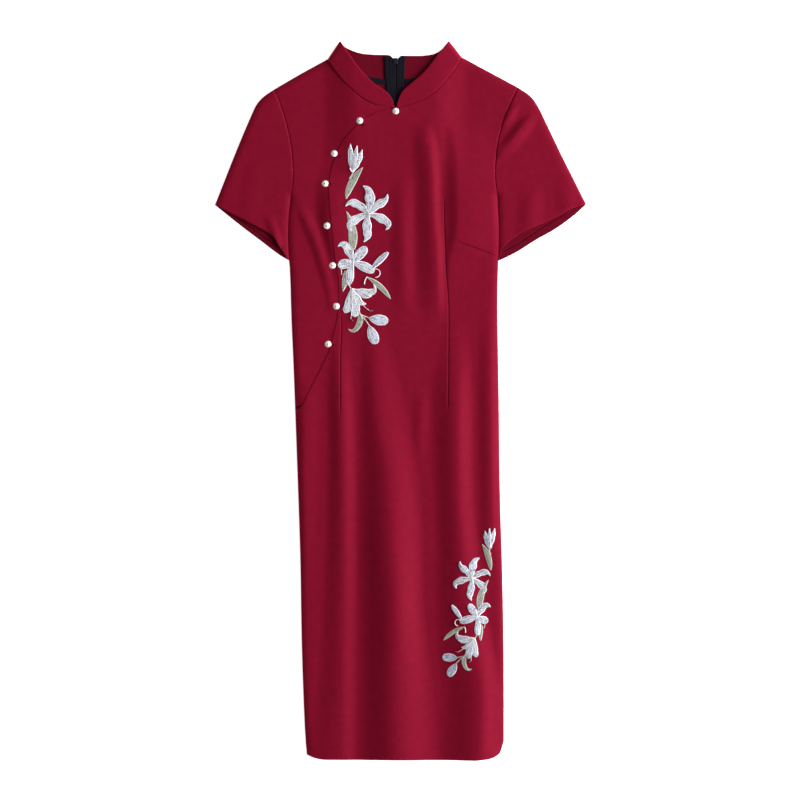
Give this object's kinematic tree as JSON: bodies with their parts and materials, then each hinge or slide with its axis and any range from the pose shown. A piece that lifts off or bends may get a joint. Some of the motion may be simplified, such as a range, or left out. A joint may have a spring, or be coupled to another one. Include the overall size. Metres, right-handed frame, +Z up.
{
  "type": "cheongsam dress laid flat",
  "caption": "Short-sleeved midi cheongsam dress laid flat, with a stand collar, a curved side flap closed by pearl buttons, and a back zip.",
  "frame": {"origin": "on the surface that the dress lies on, under the middle of its outline's box", "axes": "+Y from the hem to the collar, +Z up from the surface through the front, +X to the wearer's left"},
  "size_m": [0.5788, 1.1222, 0.0252],
  "materials": {
    "crimson_crepe": "satin-backed crepe with a soft sheen",
    "navy_tape": "matt woven tape",
    "navy_coil": "smooth nylon coil",
    "navy_enamel": "smooth enamel",
    "white_pearl": "pearl lustre"
  },
  "bodies": {
    "dress": {"back_left": "crimson_crepe", "back_right": "crimson_crepe", "collar_left": "crimson_crepe", "collar_right": "crimson_crepe", "front_main": "crimson_crepe", "front_right": "crimson_crepe", "loop_1": "crimson_crepe", "loop_2": "crimson_crepe", "loop_3": "crimson_crepe", "loop_4": "crimson_crepe", "loop_5": "crimson_crepe", "loop_6": "crimson_crepe", "loop_7": "crimson_crepe", "loop_8": "crimson_crepe", "neck_binding_left": "navy_tape", "neck_binding_right": "navy_tape", "pearl_1": "white_pearl", "pearl_2": "white_pearl", "pearl_3": "white_pearl", "pearl_4": "white_pearl", "pearl_5": "white_pearl", "pearl_6": "white_pearl", "pearl_7": "white_pearl", "pearl_8": "white_pearl", "sleeve_left": "crimson_crepe", "sleeve_right": "crimson_crepe", "zip_chain": "navy_coil", "zip_slider": "navy_enamel", "zip_tape_left": "navy_tape", "zip_tape_right": "navy_tape"},
    "pull": {"zip_pull": "navy_enamel"}
  },
  "joints": [
    {"name": "zip_pull_hinge", "type": "hinge", "parent": "dress", "child": "pull", "pos_m": [-0.008, 0.53, 0.0019], "axis": [1, 0, 0], "range_deg": [-8, 165]}
  ]
}
